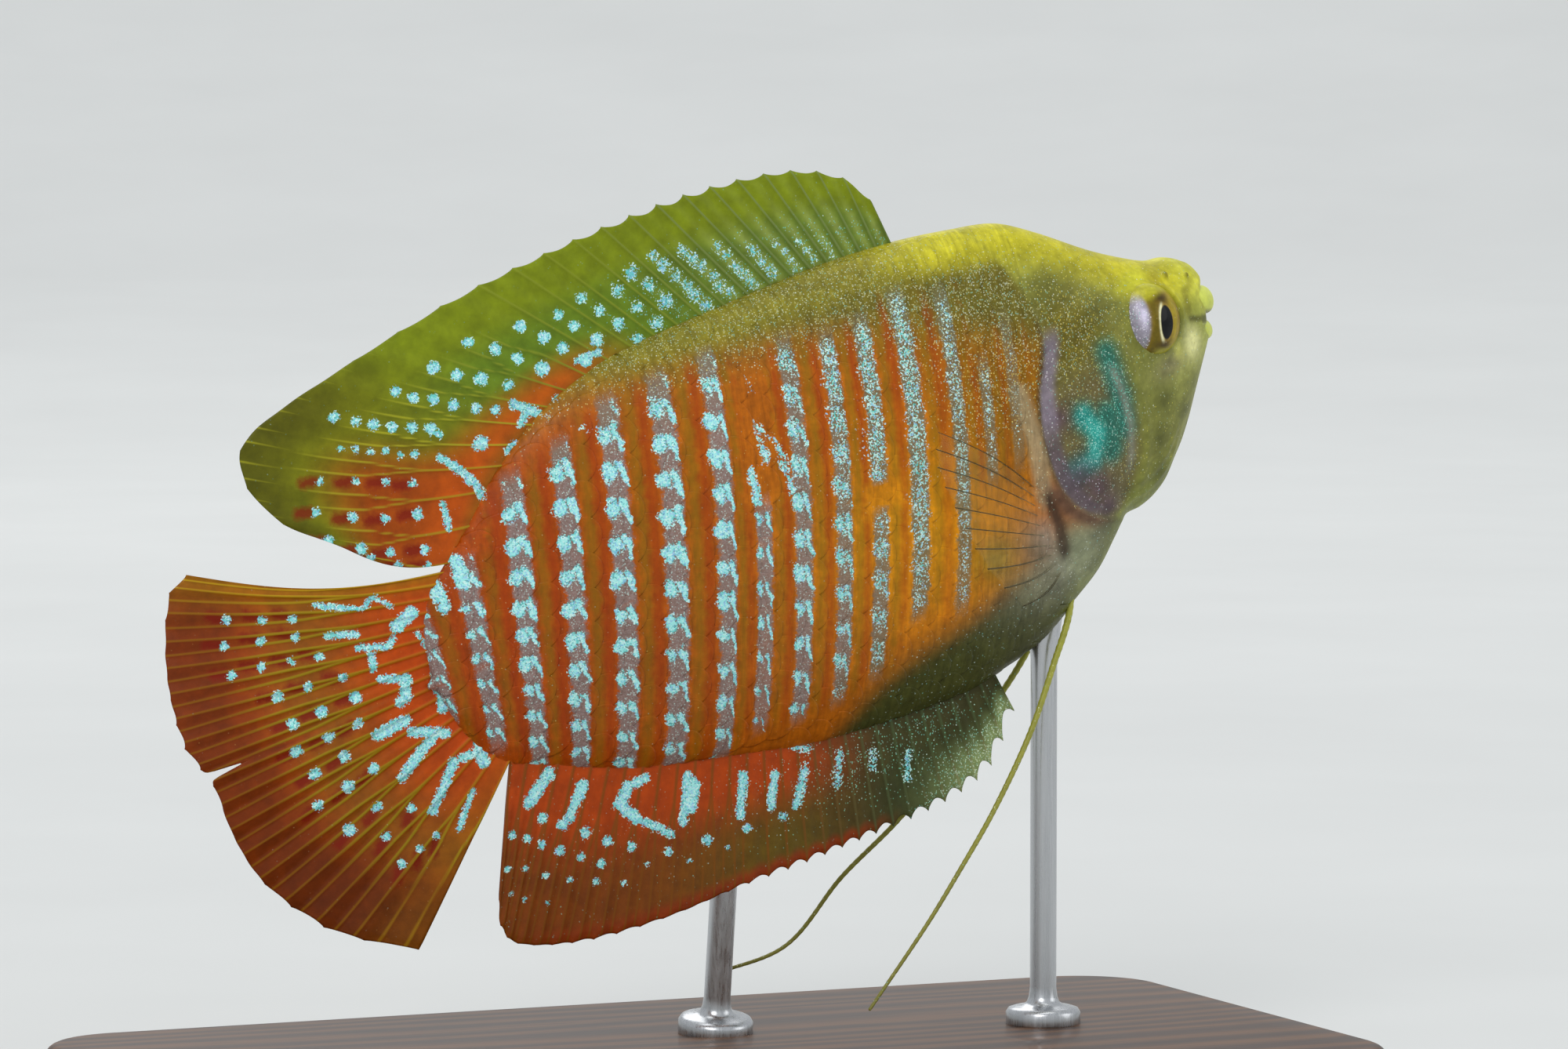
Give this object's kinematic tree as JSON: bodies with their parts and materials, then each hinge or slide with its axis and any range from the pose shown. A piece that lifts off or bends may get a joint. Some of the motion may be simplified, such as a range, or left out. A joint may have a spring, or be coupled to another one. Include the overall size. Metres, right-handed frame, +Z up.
{
  "type": "dwarf gourami model on a display stand",
  "caption": "Life-size still model of an adult male dwarf gourami, nose up with fins spread and thread fins trailing, held over a flat base by two short rods.",
  "frame": {"origin": "middle of the flat underside of the stand's base", "axes": "+Z up, +X along the base towards the fish's head, +Y towards the fish's left side; the fish is pitched nose up"},
  "size_m": [0.078, 0.042, 0.0599],
  "materials": {
    "skin": "satin",
    "eye": "gloss",
    "dorsal_fin": "satin",
    "anal_fin": "satin",
    "tail_fin": "satin",
    "pectoral_fin": "gloss",
    "thread": "satin",
    "stand_wood": "satin",
    "stand_metal": "brushed"
  },
  "bodies": {
    "root": {"head": "skin", "upper_jaw": "skin", "lower_jaw": "skin", "gill_cover_right": "skin", "gill_cover_left": "skin", "eye_right": "eye", "eye_left": "eye", "trunk_front": "skin", "trunk_middle": "skin", "trunk_rear": "skin", "tail_stalk": "skin", "dorsal_fin_spiny": "dorsal_fin", "dorsal_fin_soft": "dorsal_fin", "anal_fin_spiny": "anal_fin", "anal_fin_soft": "anal_fin", "caudal_fin_upper": "tail_fin", "caudal_fin_lower": "tail_fin", "pectoral_fin_right": "pectoral_fin", "pectoral_fin_left": "pectoral_fin", "pelvic_thread_right_root": "thread", "pelvic_thread_right_tip": "thread", "pelvic_thread_left_root": "thread", "pelvic_thread_left_tip": "thread", "stand_base": "stand_wood", "stand_rod_front": "stand_metal", "stand_rod_rear": "stand_metal"}
  },
  "joints": []
}
